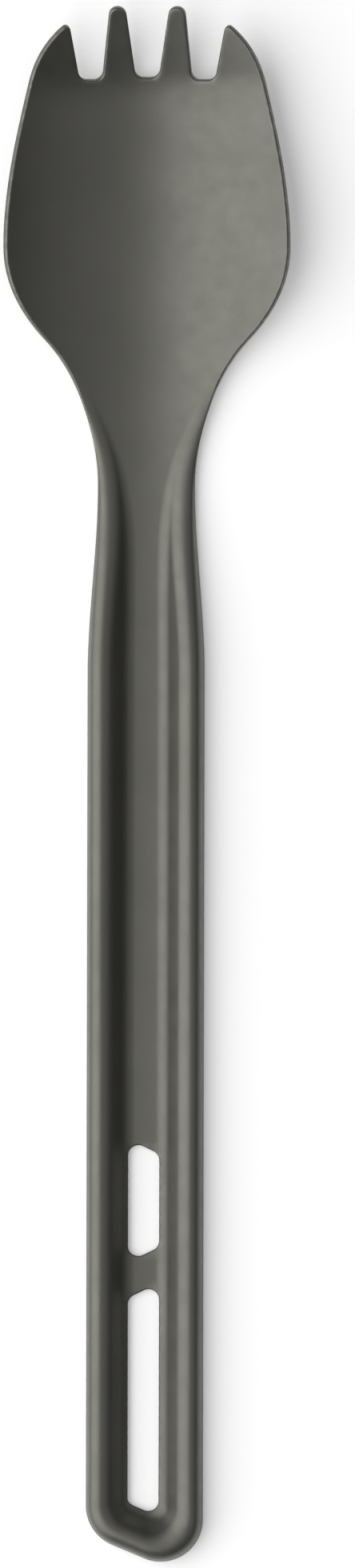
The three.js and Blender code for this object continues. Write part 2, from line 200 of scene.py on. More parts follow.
FLANGE_EDGE = FLANGE_CLEARANCE + SHEET * math.cos(FLANGE) - SHEET
FLANGE_DROP = RIDGE_HEIGHT - RIDGE_OUTER * (1 - math.cos(FLANGE)) - FLANGE_EDGE
FLANGE_RUN = RIDGE_OUTER * math.sin(FLANGE) + FLANGE_DROP / math.tan(FLANGE)
HANDLE_CREST = HALF_HANDLE - FLANGE_RUN
CHANNEL_RIDGE = RIDGE_HEIGHT - float(trough_height(HANDLE_START, HANDLE_CREST))


def stretch(column, start, end):
    """Share of a stretch that lies inside a column: 0 before its start, 1 past its end."""
    return np.clip((column - start) / (end - start), 0, 1)


def channel_side(ridge):
    """Lean of the channel's side under a ridge, and the runs of ridge, wall and bend. Two bends that meet
    rise by their radii times one minus the cosine of the lean, and what is left is the wall's rise."""
    bends = CHANNEL_BEND + RIDGE_INNER
    lean = np.arccos(np.maximum(1 - ridge / bends, math.cos(WALL)))
    wall_run = (ridge - bends * (1 - np.cos(lean))) / math.tan(WALL)
    return lean, RIDGE_INNER * np.sin(lean), wall_run, CHANNEL_BEND * np.sin(lean)


def channel_height(inward, ridge):
    """Height over the floor at a distance in from the crest: a circle on the ridge, a straight wall, a circle
    in the bend and then the floor."""
    lean, ridge_run, wall_run, bend_run = channel_side(ridge)
    on_ridge = ridge - RIDGE_INNER + np.sqrt(np.maximum(RIDGE_INNER ** 2 - inward ** 2, 0))
    to_floor = np.maximum(ridge_run + wall_run + bend_run - inward, 0)
    on_wall = CHANNEL_BEND * (1 - np.cos(lean)) + (to_floor - bend_run) * np.tan(lean)
    in_bend = CHANNEL_BEND - np.sqrt(np.maximum(CHANNEL_BEND ** 2 - to_floor ** 2, 0))
    return np.where(inward < ridge_run, on_ridge, np.where(to_floor > bend_run, on_wall, in_bend))


def handle_across(column):
    """Distance of a column from the axis on the handle: every stretch adds its run, a bend its radius times
    the change of its turn's sine."""
    lean, ridge_run, wall_run, bend_run = channel_side(CHANNEL_RIDGE)
    floor = HANDLE_CREST - ridge_run - wall_run - bend_run
    bend = CHANNEL_BEND * np.sin(lean * stretch(column, FLOOR_END, BEND_END))
    ridge = ridge_run - RIDGE_INNER * np.sin(lean * (1 - stretch(column, WALL_END, CREST)))
    outer_ridge = RIDGE_OUTER * np.sin(FLANGE * stretch(column, CREST, RIDGE_END))
    flange = FLANGE_DROP / math.tan(FLANGE) * stretch(column, RIDGE_END, LAST_COLUMN)
    straight = floor * stretch(column, 0, FLOOR_END) + wall_run * stretch(column, BEND_END, WALL_END)
    return straight + bend + ridge + outer_ridge + flange


def drop_share(column):
    """Share of the way down from the crest to the flange's edge: a turn over the ridge, then the straight
    flange."""
    turn = FLANGE * stretch(column, CREST, RIDGE_END)
    drop = RIDGE_OUTER * (1 - np.cos(turn)) + FLANGE_DROP * stretch(column, RIDGE_END, LAST_COLUMN)
    return drop / (RIDGE_HEIGHT - FLANGE_EDGE)


print("section: crest", round(HANDLE_CREST, 3), "from the axis")
print("section: ridge", round(CHANNEL_RIDGE, 3), "over the floor")

# %% [markdown]
# Bowl and handle are one surface. Behind the bowl the ridges rise, and the strip along the rim widens and
# folds down into the flange, so the rim runs on into the ridge without a break. The surface below is the
# upper side of the sheet as a function of two parameters, the column and the station. Subdivided blocks could
# be pushed into this shape by hand, but a function keeps every measured width.

# %% Upper side of the sheet
RIDGE_START = THROAT - 2.0
FOLD_START = THROAT - 6.0
FOLD_LENGTH = 28.0
RIM_STRIP = 1.2


def section_point(station, column, half):
    """Distance across and height over the centre line of a column, for an upper side of a half-width. Inside
    the crest the trough and the channel add up. Outside it the strip is mixed with the flange by the fold,
    and its drop changes from a square of the way out to the flange's own turn."""
    fold = smoothstep(station, FOLD_START, FOLD_START + FOLD_LENGTH)
    rise = smoothstep(station, RIDGE_START, HANDLE_START)
    strip_run = lerp(RIM_STRIP, FLANGE_RUN, fold)
    crest = half - strip_run
    ridge = CHANNEL_RIDGE * rise
    on_handle = handle_across(column)
    inner = lerp(stretch(column, 0, CREST), np.minimum(on_handle / HANDLE_CREST, 1), rise)
    strip_share = stretch(column, CREST, LAST_COLUMN)
    outer = lerp(strip_share, np.maximum(on_handle - HANDLE_CREST, 0) / FLANGE_RUN, fold)
    across = crest * inner + strip_run * outer
    unfolded = trough_height(station, across) + channel_height(np.maximum(crest - across, 0), ridge)
    drop = lerp(strip_share ** 2, drop_share(column), fold ** 2)
    folded = lerp(unfolded, FLANGE_EDGE * rise, drop)
    return across, np.where(column > CREST, lerp(unfolded, folded, fold), unfolded)


def upper_half_width(station):
    """Half-width of the upper side. Where the rim leans out, the lower corner of the rounded edge reaches the
    outline and the upper side stays inside by the edge's lean. Where it folds down, the upper corner reaches
    it."""
    half = half_width(station)
    inner_across, inner_height = section_point(station, RIDGE_END, half)
    outer_across, outer_height = section_point(station, LAST_COLUMN, half)
    slope = (outer_height - inner_height) / (outer_across - inner_across)
    rising, falling = np.maximum(slope, 0), np.maximum(-slope, 0)
    along_slope = spine_slope(station)
    lean = (SHEET - EDGE_ROUND) / np.sqrt(1 + rising ** 2 + along_slope ** 2)
    inset = EDGE_ROUND * (1 - 1 / np.sqrt(1 + rising ** 2))
    overhang = EDGE_ROUND * ((1 + falling) / np.sqrt(1 + falling ** 2) - 1)
    return half_width(station - lean * along_slope) - lean * rising - inset + overhang


def column_point(station, column):
    """Upper side at a station and column on the right of the axis: across, along and up, in millimetres."""
    x, height = section_point(station, column, upper_half_width(station))
    y = np.broadcast_to(LENGTH / 2 - station, np.shape(x))
    return np.stack([x, y, SHEET + spine_lift(station) + height], axis=-1)


print("upper side: half-width at the throat", round(float(upper_half_width(THROAT)), 2))

# %% [markdown]
# A cut sheet has sharp edges, and a utensil's edges are rounded so that they don't hurt. The rounding takes
# up the last quarter of a millimetre before the outline, so the upper side has to stop that far from it. A
# bevel could cut the edge back later. Here the column of the stop is found first, and u then runs across from
# stop to stop, from -1 to 1, so that the later steps needn't know about the rounding.

# %% Rim of the upper side
HALVINGS = 40
SLANT_REACH = 0.01
FIRST_RIM_STATION, RIM_STATION_STEP = -0.5, 0.25


def rim_column_at(station):
    """Column where the rounding of the rim begins: by halving, the one that lies a rounding's width from the
    edge, measured square to the outline."""
    slant = (half_width(station + SLANT_REACH) - half_width(station - SLANT_REACH)) / (2 * SLANT_REACH)
    reach = EDGE_ROUND * np.sqrt(1 + slant ** 2)
    edge = column_point(station, np.full(station.shape, float(LAST_COLUMN)))
    low = np.full(station.shape, WALL_END, float)
    high = np.full(station.shape, LAST_COLUMN, float)
    for _ in range(HALVINGS):
        middle = (low + high) / 2
        inside = np.linalg.norm(column_point(station, middle) - edge, axis=-1) > reach
        low = np.where(inside, middle, low)
        high = np.where(inside, high, middle)
    return high


RIM_STATIONS = np.arange(FIRST_RIM_STATION, LENGTH, RIM_STATION_STEP)
RIM_COLUMNS = rim_column_at(RIM_STATIONS)


def rim_column(station):
    """Column of the rim at any station, read between the worked-out stations."""
    return np.interp(station, RIM_STATIONS, RIM_COLUMNS)


def upper_side(u, station):
    """The sheet's upper side: u -1 to 1 is a share of the rim's column, mirrored on the left of the axis."""
    point = column_point(station, np.abs(u) * rim_column(station))
    point[..., 0] *= np.sign(u)
    return point


print("rim column from", round(RIM_COLUMNS.min(), 2), "to", round(RIM_COLUMNS.max(), 2))

# %% [markdown]
# The gaps between the tines and the slots in the handle are cut out of the flat sheet before it is pressed,
# so their edges are square to the sheet. Each cut is a chain of straight sides with round corners. The chains
# are drawn with their corners first, moved back by the rounding of the edge, then rounded, and then sampled
# evenly. Curve objects could draw them too, but a later step needs them as plain points.

# %% Chains with round corners
ARC_SAMPLES = 24
SMALLEST_RADIUS = 1e-12


def moved_corners(corners, distance, closed):
    """Corners after every side has moved to its right by a distance: each corner goes along the sum of the
    two sides' normals divided by one plus their product. The ends of an open chain go along their one side's
    normal."""
    side = np.roll(corners, -1, axis=0) - corners
    side = side / np.linalg.norm(side, axis=1, keepdims=True)
    normal = np.stack([side[:, 1], -side[:, 0]], axis=1)
    before = np.roll(normal, 1, axis=0)
    share = 1 + np.sum(before * normal, axis=1, keepdims=True)
    moved = corners + distance * (before + normal) / share
    if not closed:
        moved[[0, -1]] = corners[[0, -1]] + distance * normal[[0, -2]]
    return moved


def rounded_chain(corners, radii, step, closed):
    """Even points along a chain whose corners are arcs. An arc touches both sides at radius over the tangent
    of the half-angle, and its radius is limited by half the shorter side."""
    before = np.roll(corners, 1, axis=0) - corners
    after = np.roll(corners, -1, axis=0) - corners
    room = np.minimum(np.linalg.norm(before, axis=1), np.linalg.norm(after, axis=1)) / 2
    before = before / np.linalg.norm(before, axis=1, keepdims=True)
    after = after / np.linalg.norm(after, axis=1, keepdims=True)
    half = np.arccos(np.clip(np.sum(before * after, axis=1), -1, 1)) / 2
    radius = np.minimum(radii, room * np.tan(half))
    inward = (before + after) / (2 * np.cos(half))[:, None]
    centre = corners + inward * (radius / np.sin(half))[:, None]
    start = before * (radius / np.tan(half))[:, None] + corners - centre
    end = after * (radius / np.tan(half))[:, None] + corners - centre
    share = np.linspace(0, 1, ARC_SAMPLES)[None, :, None]
    arc = lerp(start[:, None], end[:, None], share)
    arc = arc / np.maximum(np.linalg.norm(arc, axis=2, keepdims=True), SMALLEST_RADIUS)
    path = (centre[:, None] + arc * radius[:, None, None]).reshape(-1, 2)
    if closed:
        path = np.concatenate([path, path[:1]])
    walked = np.concatenate([[0], np.cumsum(np.linalg.norm(np.diff(path, axis=0), axis=1))])
    count = math.ceil(walked[-1] / step)
    even = np.linspace(0, walked[-1], count + 1)
    sampled = np.stack([np.interp(even, walked, path[:, axis]) for axis in (0, 1)], axis=1)
    return sampled[:-1] if closed else sampled


print("chains: corners drawn with", ARC_SAMPLES, "samples each")

# %% [markdown]
# Three gaps part the front of the bowl into four tines. A Boolean modifier could cut them, but a chain keeps
# their measured widths and gives an edge that can be rounded. The tips and the gaps' ends lean back with the
# sheet, so on the upper side the chain sits a little behind the place where the lower corner shows from
# above. The outer tines end where their straight inner side meets the curved rim, which halving finds.

# %% Tine chain
TINE_TIP_WIDTH = 2.2
TINE_ROOT_WIDTH = 4.7
TINE_TIP_ROUND = 1.2
OUTER_TIP_ROUND = 0.6
GAP_MOUTH = 6.1
GAP_ROOT = 3.2
GAP_CORNER = 1.25
CENTRE_GAP_DEPTH = 9.6
OUTER_GAP_DEPTH = 9.95
TINE_STEP = 0.2
RIM_JOIN = 1.0
TINE_LEAN = (SHEET - EDGE_ROUND) * math.sin(TINE_PITCH)


def rim_across(station):
    """Distance of the rim from the axis at a station, where its rounding begins."""
    return upper_side(np.ones_like(station), station)[..., 0]


def rim_meeting(inner_start, inner_end):
    """Station at which the rim crosses the straight line between two points, by halving."""
    low, high = inner_start[1], inner_end[1]
    for _ in range(HALVINGS):
        middle = (low + high) / 2
        line = lerp(inner_start[0], inner_end[0], (middle - inner_start[1]) / (inner_end[1] - inner_start[1]))
        low, high = (middle, high) if rim_across(np.array(middle)) < line else (low, middle)
    return high


tip_inner = GAP_MOUTH / 2
tip_outer = tip_inner + TINE_TIP_WIDTH
root_inner = GAP_ROOT / 2
root_outer = root_inner + TINE_ROOT_WIDTH
right_corners = np.array([
    [tip_outer + GAP_MOUTH, TINE_LEAN],
    [root_outer + GAP_ROOT, OUTER_GAP_DEPTH + TINE_LEAN],
    [root_outer, OUTER_GAP_DEPTH + TINE_LEAN],
    [tip_outer, TINE_LEAN],
    [tip_inner, TINE_LEAN],
    [root_inner, CENTRE_GAP_DEPTH + TINE_LEAN],
])
mirror = np.array([-1, 1])
tine_corners = np.concatenate([right_corners, right_corners[::-1] * mirror])
tine_corners = moved_corners(tine_corners, EDGE_ROUND, closed=False)
apex = rim_meeting(tine_corners[0], tine_corners[1])
join = apex + RIM_JOIN
tine_corners[[0, -1]] = np.array([[1, 1], [-1, 1]]) * [rim_across(np.array(apex)), apex]
rim_start = np.array([[rim_across(np.array(join)), join]])
tine_corners = np.concatenate([rim_start, tine_corners, rim_start * mirror])
tip_round = TINE_TIP_ROUND - EDGE_ROUND
gap_round = GAP_CORNER + EDGE_ROUND
outer_tip_round = OUTER_TIP_ROUND - EDGE_ROUND
right_radii = np.array([0, outer_tip_round, gap_round, gap_round, tip_round, tip_round, gap_round])
tine_radii = np.concatenate([right_radii, right_radii[::-1]])
tine_chain = rounded_chain(tine_corners, tine_radii, TINE_STEP, closed=False)
print("tines: outer tips at station", round(apex, 2), "and", len(tine_chain), "points in the chain")

# %% [markdown]
# Two slots in the channel floor let the spork hang on a hook or a clip. They lie a little to the left of the
# axis. Their ends are slanted, and the bridge between them runs almost parallel to the handle's slanted end.
# The slots are drawn on the unrolled section, where a distance is a length of sheet. Their sides lie in the
# bends and lean outwards with them, so they are drawn a little narrower than they show from above. The long
# slot is an open chain, because the last part of the handle is made by carrying the section round the
# handle's end.

# %% Slot chains
END_SLANT = math.radians(22.8)
END_CORNER = 6.0
END_WALL = 6.419
CHANNEL_CORNER = 1.4
SLOT_WIDTH = 4.4
SLOT_ASIDE = -0.17
SLOT_LEAN = 0.1
SLOT_SLOPE = math.tan(math.radians(25))
SLOT_CORNER = 1.45
LOWER_SLOT_LENGTH = 31.0
SLOT_BRIDGE = 5.1
UPPER_SLOT_LENGTH = 15.3
SLOT_STEP = 0.34
RING_START = 205.0
SCALE_SAMPLES = 2801

COLUMN_SCALE = np.linspace(0, LAST_COLUMN, SCALE_SAMPLES)
RING_HALF = float(upper_half_width(RING_START))
ACROSS_SCALE, HEIGHT_SCALE = section_point(RING_START, COLUMN_SCALE, RING_HALF)
WALKED_SCALE = np.concatenate([[0], np.cumsum(np.hypot(np.diff(ACROSS_SCALE), np.diff(HEIGHT_SCALE)))])

half_floor = HALF_HANDLE - END_WALL
corner_rise = END_CORNER / math.cos(END_SLANT) - END_CORNER
end_axis = LENGTH - math.tan(END_SLANT) * (HALF_HANDLE - END_CORNER) + corner_rise
lower_end = end_axis - END_WALL / math.cos(END_SLANT)
lower_start = lower_end - LOWER_SLOT_LENGTH
upper_end = lower_start - SLOT_BRIDGE
upper_start = upper_end - UPPER_SLOT_LENGTH
half_slot = SLOT_WIDTH / 2 - SLOT_LEAN
slot_right = float(np.interp(half_slot + SLOT_ASIDE, ACROSS_SCALE, WALKED_SCALE))
slot_left = float(np.interp(half_slot - SLOT_ASIDE, ACROSS_SCALE, WALKED_SCALE))
slant_shift = SLOT_WIDTH / 2 * SLOT_SLOPE
slot_round = SLOT_CORNER + EDGE_ROUND

upper_corners = np.array([
    [-slot_left, upper_start - slant_shift],
    [-slot_left, upper_end + slant_shift],
    [slot_right, upper_end - slant_shift],
    [slot_right, upper_start + slant_shift],
])
upper_corners = moved_corners(upper_corners, -EDGE_ROUND, closed=True)
upper_slot = rounded_chain(upper_corners, np.full(len(upper_corners), slot_round), SLOT_STEP, closed=True)

lower_corners = np.array([
    [slot_right, RING_START],
    [slot_right, lower_start - slant_shift],
    [-slot_left, lower_start + slant_shift],
    [-slot_left, RING_START],
])
lower_corners = moved_corners(lower_corners, -EDGE_ROUND, closed=False)
lower_radii = np.array([0, slot_round, slot_round, 0])
lower_slot = rounded_chain(lower_corners, lower_radii, SLOT_STEP, closed=False)
print("slots:", len(upper_slot), "and", len(lower_slot), "points, long slot from", round(lower_start, 2))

# %% [markdown]
# The sheet up to the handle's last part is filled with points in rows and columns, which follow the ridges
# and the rim. The rows are close at the tines, where the sheet bends along its length, and wide along the
# straight handle. A plain grid over the whole length would do, but it would need far more points for the same
# smooth bends.

# %% Rows and columns
COLUMN_STEP = 0.25
FIRST_ROW, FRONT_END, NECK_END = 0.6, 14.0, 96.0
FRONT_STEP, BOWL_STEP, HANDLE_STEP = 0.45, 0.8, 1.4

front_rows = np.arange(FIRST_ROW, FRONT_END, FRONT_STEP)
bowl_rows = np.arange(FRONT_END, NECK_END, BOWL_STEP)
handle_rows = np.arange(NECK_END, RING_START - HANDLE_STEP / 2, HANDLE_STEP)
rows = np.concatenate([front_rows, bowl_rows, handle_rows])
column_share = np.arange(0, LAST_COLUMN, COLUMN_STEP) / LAST_COLUMN
columns = np.concatenate([-column_share[:0:-1], column_share])
grid_u, grid_station = (part.ravel() for part in np.meshgrid(columns, rows))
print("grid:", rows.size, "rows of", columns.size, "points")

# %% [markdown]
# The edge of this part of the sheet is one closed line: down the right rim, in along the first row of the
# handle's last part, round the long slot, out again, up the left rim and round the tines. The short slot is a
# hole inside it. Every point of the line gets the same two parameters as the grid, so the surface function
# places it too. The bowl's chain is read from distances across, and the slots' chains from lengths of sheet.

# %% Outline of the grid
def bowl_u(across, station):
    """Parameter u of a place in the bowl, from its distance across: columns are even inside the rim's strip,
    and even again on it."""
    crest = upper_half_width(station) - RIM_STRIP
    inside = CREST * np.abs(across) / crest
    on_strip = CREST + (LAST_COLUMN - CREST) * (np.abs(across) - crest) / RIM_STRIP
    return np.sign(across) * np.where(np.abs(across) < crest, inside, on_strip) / rim_column(station)


def handle_u(walked, station):
    """Parameter u of a place on the handle, from the length of sheet between it and the axis."""
    column = np.interp(np.abs(walked), WALKED_SCALE, COLUMN_SCALE)
    return np.sign(walked) * column / rim_column(station)


def flat_place(u, station):
    """Place in the flat plane: the column, counted from the axis, and the station."""
    return np.stack([u * LAST_COLUMN, station], axis=-1)


ring_rim = float(rim_column(RING_START))
right_column = float(np.interp(slot_right + EDGE_ROUND, WALKED_SCALE, COLUMN_SCALE))
left_column = float(np.interp(slot_left + EDGE_ROUND, WALKED_SCALE, COLUMN_SCALE))
ring_right = columns[columns * ring_rim > right_column + COLUMN_STEP / 2]
ring_right = np.concatenate([[right_column / ring_rim], ring_right, [1.0]])
column_place = (ring_right * ring_rim - right_column) / (ring_rim - right_column)
ring_left = lerp(left_column, ring_rim, column_place) / ring_rim

rim_rows = np.concatenate([[join], rows[rows > join + COLUMN_STEP], [RING_START]])
tine_u = bowl_u(tine_chain[:, 0], tine_chain[:, 1])
lower_u = handle_u(lower_slot[:, 0], lower_slot[:, 1])
upper_u = handle_u(upper_slot[:, 0], upper_slot[:, 1])
ring_end = np.full(ring_right.size, RING_START)

outline_u = np.concatenate([
    np.ones(rim_rows.size - 1), ring_right[:0:-1], lower_u, -ring_left[1:], -np.ones(rim_rows.size - 1),
    tine_u[-2:0:-1],
])
outline_station = np.concatenate([
    rim_rows[:-1], ring_end[1:], lower_slot[:, 1], ring_end[1:], rim_rows[-2::-1], tine_chain[-2:0:-1, 1],
])
outline_flat = flat_place(outline_u, outline_station)
hole_flat = flat_place(upper_u, upper_slot[:, 1])
grid_flat = flat_place(grid_u, grid_station)
tine_flat = flat_place(tine_u, tine_chain[:, 1])
lower_flat = flat_place(lower_u, lower_slot[:, 1])
print("outline:", len(outline_flat), "points; hole:", len(hole_flat), "points")

# %% [markdown]
# A grid alone can't follow the round ends of the gaps and slots. Cutting them with a Boolean modifier leaves
# slivers. So the grid points near a chain are left out, and a triangulation joins the rest to the chains. It
# works in a flat plane, the columns across and the station along, and only says which points belong together.
# Their places come from the surface function.

# %% Triangles of the sheet up to the handle end
CUT_MARGIN = 3.0
CUT_FRONT = OUTER_GAP_DEPTH + CUT_MARGIN
CUT_BACK = upper_start - CUT_MARGIN
CHAIN_CLEARANCE = 0.22
WHOLE_HULL = 0
SAME_POINT = 1e-7


def inside_polygon(points, polygon):
    """Even-odd rule: whether a ray from each point crosses the polygon's sides an odd number of times."""
    x, y = points[:, :1], points[:, 1:]
    start, end = polygon, np.roll(polygon, -1, axis=0)
    spans = (start[:, 1] > y) != (end[:, 1] > y)
    rise = np.where(end[:, 1] == start[:, 1], 1, end[:, 1] - start[:, 1])
    crossing = start[:, 0] + (y - start[:, 1]) / rise * (end[:, 0] - start[:, 0])
    return np.sum(spans & (x < crossing), axis=1) % 2 == 1


chain_flat = np.concatenate([tine_flat, lower_flat, hole_flat])
near_cut = (grid_station < CUT_FRONT) | (grid_station > CUT_BACK)
tested = grid_flat[near_cut]
clear = np.min(np.linalg.norm(tested[:, None] - chain_flat[None], axis=2), axis=1) > CHAIN_CLEARANCE
clear &= inside_polygon(tested, outline_flat) & ~inside_polygon(tested, hole_flat)
kept = np.ones(grid_u.size, bool)
kept[near_cut] = clear

sheet_u = np.concatenate([outline_u, upper_u, grid_u[kept]])
sheet_station = np.concatenate([outline_station, upper_slot[:, 1], grid_station[kept]])
sheet_flat = flat_place(sheet_u, sheet_station)
outline_index = np.arange(len(outline_flat))
hole_index = np.arange(len(hole_flat))
outline_sides = np.stack([outline_index, np.roll(outline_index, -1)], axis=1)
hole_sides = np.stack([hole_index, np.roll(hole_index, -1)], axis=1) + len(outline_flat)
sides = np.concatenate([outline_sides, hole_sides])
joined = delaunay_2d_cdt(sheet_flat.tolist(), sides.tolist(), [], WHOLE_HULL, SAME_POINT)
assert len(joined[0]) == len(sheet_flat), "points of two chains met"
sheet_faces = np.array(joined[2])

on_chains = np.all(sheet_faces < len(outline_flat) + len(hole_flat), axis=1)
middles = sheet_flat[sheet_faces[on_chains]].mean(axis=1)
within = np.ones(len(sheet_faces), bool)
within[on_chains] = inside_polygon(middles, outline_flat) & ~inside_polygon(middles, hole_flat)
sheet_faces = sheet_faces[within]
sheet_points = upper_side(sheet_u, sheet_station)
print("sheet:", len(sheet_points), "points,", len(sheet_faces), "triangles")

# %% [markdown]
# At the handle's end the section runs on round two corners and along the slanted end, so ridge and flange
# close the channel. A curve with a bevel could carry the section round, but then all its columns would turn
# about one centre. Here for every column the path is an arc's centre that moves along the straight sides and
# stands still in the corners while the arc turns about it. The inner columns have small corners and the outer
# ones large corners, as a pressed sheet has. The long slot's end is the innermost column.

# %% Ring round the handle end
SIDE_ROWS, RIGHT_ROWS, SLANT_ROWS, LEFT_ROWS = 6, 32, 8, 22
END_TURN = math.pi / 2 + END_SLANT


def end_ring(column, t):
    """Point of a column's path round the handle end. The centre goes down the right side while t goes from 0
    to 1, along the slant from 2 to 3 and up the left side from 4 to 5. The arc turns round the right corner
    from 1 to 2 and round the left one from 3 to 4. The point lies the column's corner radius from the
    centre."""
    across, height = section_point(RING_START, column, RING_HALF)
    axis_end = end_axis - (HALF_HANDLE - across) / math.cos(END_SLANT)
    past_floor = (across - half_floor) / (HALF_HANDLE - half_floor)
    radius = lerp(CHANNEL_CORNER, END_CORNER, np.maximum(past_floor, 0))
    radius = np.where(past_floor < 0, CHANNEL_CORNER * across / half_floor, radius)
    right_x = across - radius
    right_station = axis_end + across * math.tan(END_SLANT) - radius / math.tan((math.pi - END_TURN) / 2)
    left_station = axis_end - across * math.tan(END_SLANT) - radius / math.tan(END_TURN / 2)
    centre_x = lerp(right_x, -right_x, stretch(t, 2, 3))
    centre_station = lerp(RING_START, right_station, stretch(t, 0, 1))
    centre_station = lerp(centre_station, left_station, stretch(t, 2, 3))
    centre_station = lerp(centre_station, RING_START, stretch(t, 4, 5))
    turn = END_TURN * stretch(t, 1, 2) + (math.pi - END_TURN) * stretch(t, 3, 4)
    x = centre_x + radius * np.cos(turn)
    y = LENGTH / 2 - centre_station - radius * np.sin(turn)
    return np.stack([x, y, SHEET + height], axis=-1)


def ring_rows(start, count):
    """Even rows over one part of the path."""
    return start + np.arange(count) / count


path = np.concatenate([
    ring_rows(0, SIDE_ROWS), ring_rows(1, RIGHT_ROWS), ring_rows(2, SLANT_ROWS), ring_rows(3, LEFT_ROWS),
    ring_rows(4, SIDE_ROWS), [5.0],
])[:, None]
slot_end_walked = np.interp(half_floor, ACROSS_SCALE, WALKED_SCALE) + EDGE_ROUND
slot_end_column = float(np.interp(slot_end_walked, WALKED_SCALE, COLUMN_SCALE))
inner_column = lerp(right_column, slot_end_column, smoothstep(path, 1, 2))
inner_column = lerp(inner_column, left_column, smoothstep(path, 3, 4))
ring_points = end_ring(lerp(inner_column, ring_rim, column_place), path)

ring_index = np.arange(ring_points[..., 0].size).reshape(ring_points.shape[:2])
corner_a, corner_b = ring_index[:-1, :-1].ravel(), ring_index[:-1, 1:].ravel()
corner_c, corner_d = ring_index[1:, 1:].ravel(), ring_index[1:, :-1].ravel()
ring_faces = np.concatenate([
    np.stack([corner_a, corner_b, corner_c], axis=1),
    np.stack([corner_a, corner_c, corner_d], axis=1),
])
print("ring:", ring_points.shape[0], "rows of", ring_points.shape[1], "points")

# %% [markdown]
# The two parts meet in the same points, so they are welded into one upper side. Blender can merge points by
# their distance, but here they agree beyond the fifth decimal, so rounding their places finds the pairs at
# once. The weld has to come before the sheet gets its thickness, because the normals at the join need the
# triangles of both parts.

# %% Weld the two parts
WELD_DECIMALS = 5


def facing_up(points, faces):
    """The same triangles, turned over together if they look down."""
    corner = points[faces]
    normal = np.cross(corner[:, 1] - corner[:, 0], corner[:, 2] - corner[:, 0])
    return faces if normal[:, 2].sum() > 0 else faces[:, ::-1]


def point_normals(points, faces):
    """Unit normal of each point: the sum of its triangles' normals, each as long as twice the triangle's
    area."""
    corner = points[faces]
    normal = np.cross(corner[:, 1] - corner[:, 0], corner[:, 2] - corner[:, 0])
    total = np.zeros_like(points)
    np.add.at(total, faces.ravel(), np.repeat(normal, 3, axis=0))
    return total / np.linalg.norm(total, axis=1, keepdims=True)


ring_flat = ring_points.reshape(-1, 3)
loose_faces = np.concatenate([
    facing_up(sheet_points, sheet_faces),
    facing_up(ring_flat, ring_faces) + len(sheet_points),
])
loose_points = np.concatenate([sheet_points, ring_flat])
rounded_points = np.round(loose_points, WELD_DECIMALS)
_, first, back = np.unique(rounded_points, axis=0, return_index=True, return_inverse=True)
upper = loose_points[first]
upper_faces = back.ravel()[loose_faces]
normals = point_normals(upper, upper_faces)
print("weld:", len(loose_points), "points became", len(upper))

# %% [markdown]
# The lower side lies one thickness of sheet behind the upper one, along each point's normal. Along the neck
# the fold between rim and flange is tighter than that allows, so the sheet thins there from the ridge to the
# edge, as pressed sheet does. A Solidify modifier could thicken it too, but it leaves a square edge. Here a
# rounded profile is carried along every open edge instead, so the edge is soft to the hand, as tumbling and
# anodising leave it.

# %% Thicken the sheet and round its edges
EDGE_ARC_STEPS = 4
NECK_THIN = 0.4
THIN_START, THIN_FULL = THROAT - 3.0, THROAT + 1.0
THIN_FADE, THIN_END = THROAT + 20.0, THROAT + 34.0
THIN_EDGE, THIN_INNER = 0.6, 2.6


def thickness_at(points):
    """Thickness of the sheet at points of its upper side. Along the neck it is less by a share, which grows
    with a smooth step from none inside the ridge to the whole share at the edge, and fades out before and
    behind."""
    station = LENGTH / 2 - points[:, 1]
    from_edge = upper_half_width(station) - np.abs(points[:, 0])
    in_neck = smoothstep(station, THIN_START, THIN_FULL) * (1 - smoothstep(station, THIN_FADE, THIN_END))
    return SHEET * (1 - NECK_THIN * in_neck * (1 - smoothstep(from_edge, THIN_EDGE, THIN_INNER)))[:, None]


def open_sides(faces):
    """Sides that belong to one triangle only, in that triangle's direction."""
    side = np.concatenate([faces[:, [0, 1]], faces[:, [1, 2]], faces[:, [2, 0]]])
    _, back, count = np.unique(np.sort(side, axis=1), axis=0, return_inverse=True, return_counts=True)
    return side[count[back.ravel()] == 1]


edge_sides = open_sides(upper_faces)
edge_start, edge_end = edge_sides[:, 0], edge_sides[:, 1]
heading = upper[edge_end] - upper[edge_start]
heading = heading / np.linalg.norm(heading, axis=1, keepdims=True)
outward = np.zeros_like(upper)
np.add.at(outward, edge_start, np.cross(heading, normals[edge_start]))
np.add.at(outward, edge_end, np.cross(heading, normals[edge_end]))
edge_index = np.unique(edge_sides)
edge_out = outward[edge_index] / np.linalg.norm(outward[edge_index], axis=1, keepdims=True)
edge_up = normals[edge_index]

arc = np.linspace(0, math.pi / 2, EDGE_ARC_STEPS + 1)
profile_out = EDGE_ROUND * np.concatenate([np.sin(arc), np.cos(arc)])
profile_down = np.concatenate([EDGE_ROUND * (1 - np.cos(arc)), SHEET - EDGE_ROUND + EDGE_ROUND * np.sin(arc)])
thickness = thickness_at(upper)
edge_down = profile_down[1:-1, None, None] * thickness[edge_index] / SHEET
edge_rows = upper[edge_index] + profile_out[1:-1, None, None] * edge_out - edge_down * edge_up

